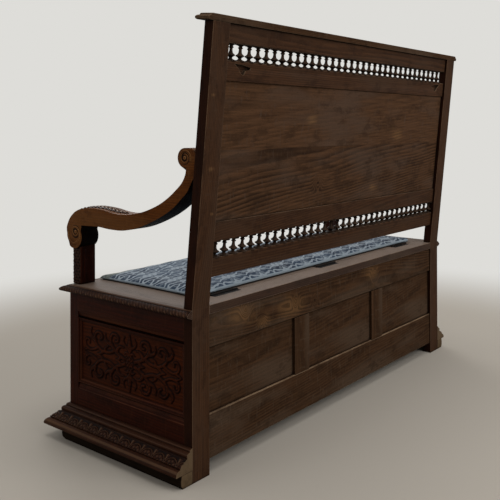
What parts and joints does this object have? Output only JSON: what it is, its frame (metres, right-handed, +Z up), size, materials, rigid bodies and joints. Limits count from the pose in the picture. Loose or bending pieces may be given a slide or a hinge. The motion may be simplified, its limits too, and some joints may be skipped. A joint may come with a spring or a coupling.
{
  "type": "settle bench",
  "caption": "Panelled oak box settle: hinged lid seat over a storage chest, scroll arms, raked panelled back with turned spindle galleries, loose cushion.",
  "frame": {"origin": "middle of the bounding box on the floor", "axes": "+X along the bench's width, -Y towards the front where a person sits, +Z up"},
  "size_m": [1.636, 0.6538, 1.2467],
  "materials": {
    "aged_oak": "dry grey-brown unpolished oak",
    "panel_oak": "dry brown unpolished oak",
    "dark_oak": "dark red-brown waxed oak",
    "arm_oak": "worn honey-brown waxed oak",
    "seat_oak": "worn greyish oak",
    "iron": "black iron",
    "cushion_cloth": "woven blue and pale cloth"
  },
  "bodies": {
    "settle": {"arm_left": "arm_oak", "arm_right": "arm_oak", "arm_support_left": "dark_oak", "arm_support_right": "dark_oak", "back_lower_rail": "aged_oak", "back_panel": "panel_oak", "back_post_left": "aged_oak", "back_post_right": "aged_oak", "back_top_rail": "aged_oak", "bottom_bearer_back": "panel_oak", "bottom_bearer_front": "panel_oak", "bottom_board_1": "panel_oak", "bottom_board_2": "panel_oak", "bottom_board_3": "panel_oak", "bottom_board_4": "panel_oak", "box_back_bottom_rail": "aged_oak", "box_back_muntin_1": "aged_oak", "box_back_muntin_2": "aged_oak", "box_back_panel_1": "panel_oak", "box_back_panel_2": "panel_oak", "box_back_panel_3": "panel_oak", "box_back_top_rail": "aged_oak", "box_front_bottom_rail": "dark_oak", "box_front_muntin_1": "dark_oak", "box_front_muntin_2": "dark_oak", "box_front_panel_1": "panel_oak", "box_front_panel_2": "panel_oak", "box_front_panel_3": "panel_oak", "box_front_top_rail": "dark_oak", "cap_board": "aged_oak", "end_bottom_rail_left": "dark_oak", "end_bottom_rail_right": "dark_oak", "end_panel_left": "dark_oak", "end_panel_right": "dark_oak", "end_top_rail_left": "dark_oak", "end_top_rail_right": "dark_oak", "front_stile_left": "dark_oak", "front_stile_right": "dark_oak", "hinge_1_fixed_leaf": "iron", "hinge_2_fixed_leaf": "iron", "hinge_3_fixed_leaf": "iron", "lower_gallery": "aged_oak", "plinth_front": "dark_oak", "plinth_left": "dark_oak", "plinth_right": "dark_oak", "runner_left": "dark_oak", "runner_right": "dark_oak", "seat_back_strip": "seat_oak", "seat_end_left": "seat_oak", "seat_end_right": "seat_oak", "upper_gallery": "aged_oak"},
    "lid": {"seat_lid": "seat_oak", "lid_batten_right": "seat_oak", "lid_batten_left": "seat_oak", "cushion": "cushion_cloth", "hinge_1_lid_leaf": "iron", "hinge_2_lid_leaf": "iron", "hinge_3_lid_leaf": "iron"}
  },
  "joints": [
    {"name": "lid_hinge", "type": "hinge", "parent": "settle", "child": "lid", "pos_m": [0, 0.17413, 0.462], "axis": [-1, 0, 0], "range_deg": [0, 95]}
  ]
}
